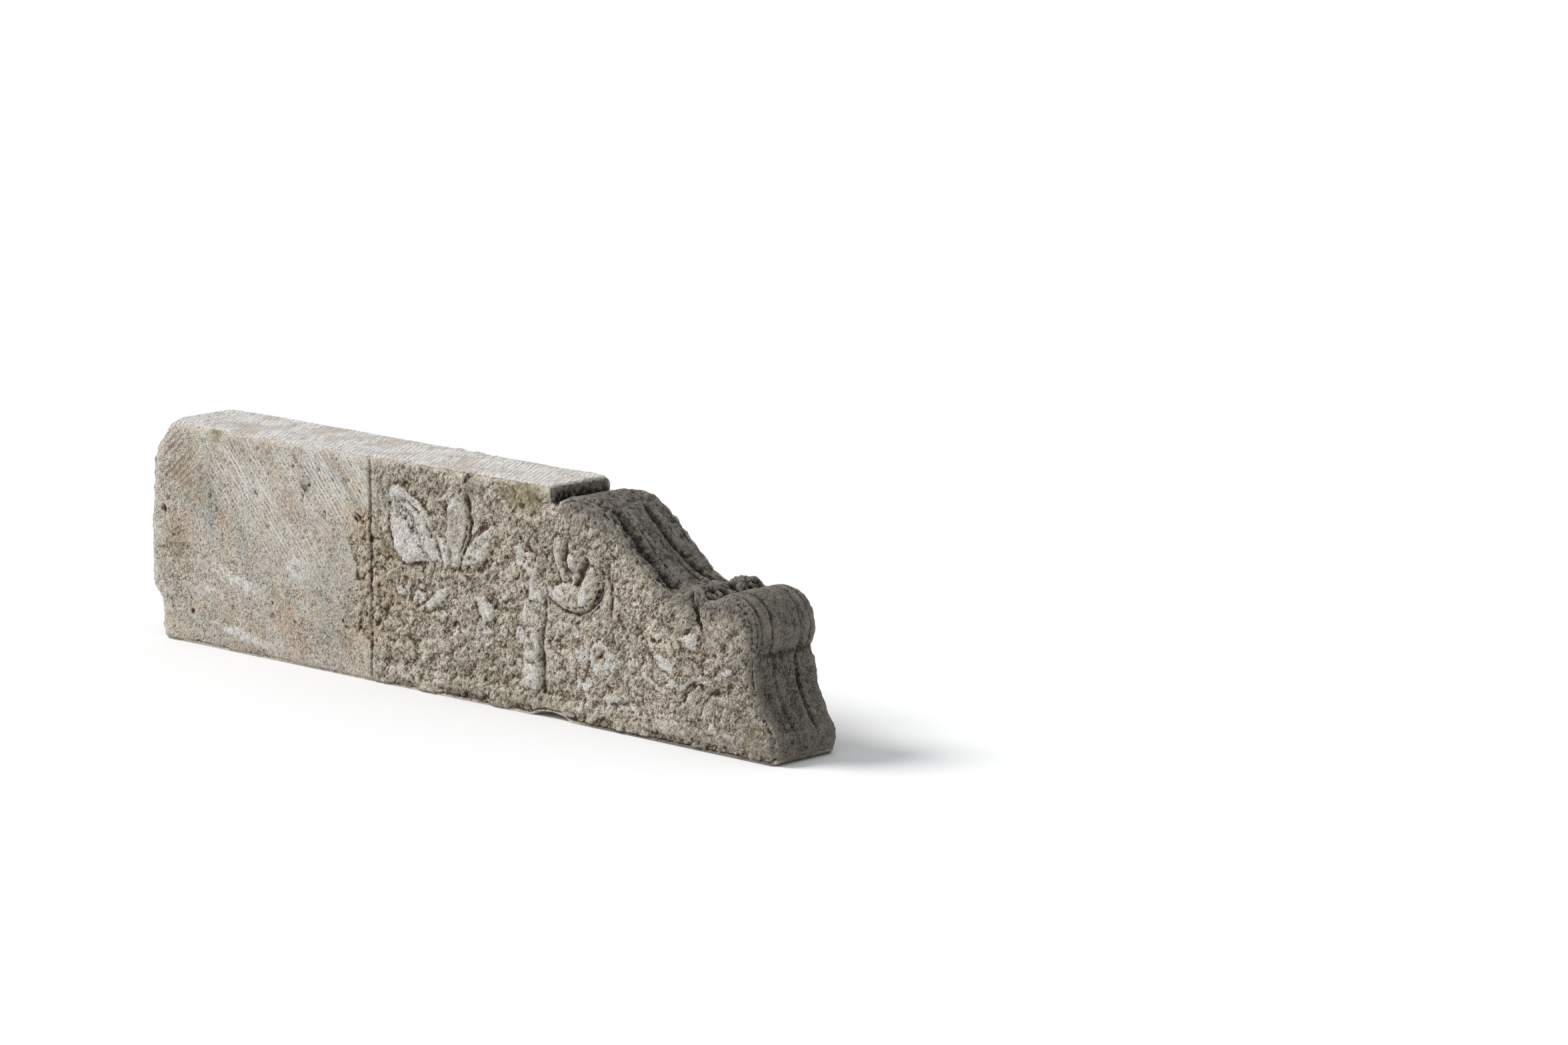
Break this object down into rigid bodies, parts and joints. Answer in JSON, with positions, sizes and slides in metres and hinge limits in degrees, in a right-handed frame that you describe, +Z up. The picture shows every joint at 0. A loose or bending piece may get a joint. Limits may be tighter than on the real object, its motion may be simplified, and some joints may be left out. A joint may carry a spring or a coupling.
{
  "type": "stone corbel",
  "caption": "Long carved stone corbel lying on its flat bed, with a plain tail block, an ogee head with leaf tips, a roll and a plain toe.",
  "frame": {"origin": "middle of the underside of the stone's bounding box, on the surface that the stone lies on", "axes": "+X runs along the stone from the tail to the carved toe, +Z is up, and the side carved with the palmette and ring that the picture shows is at -Y"},
  "size_m": [1.313, 0.1476, 0.34],
  "materials": {
    "weathered_sandstone": "rough, pitted and weathered, with dark soot on the carved head and remains of white lime mortar"
  },
  "bodies": {
    "root": {"corbel_stone": "weathered_sandstone"}
  },
  "joints": []
}
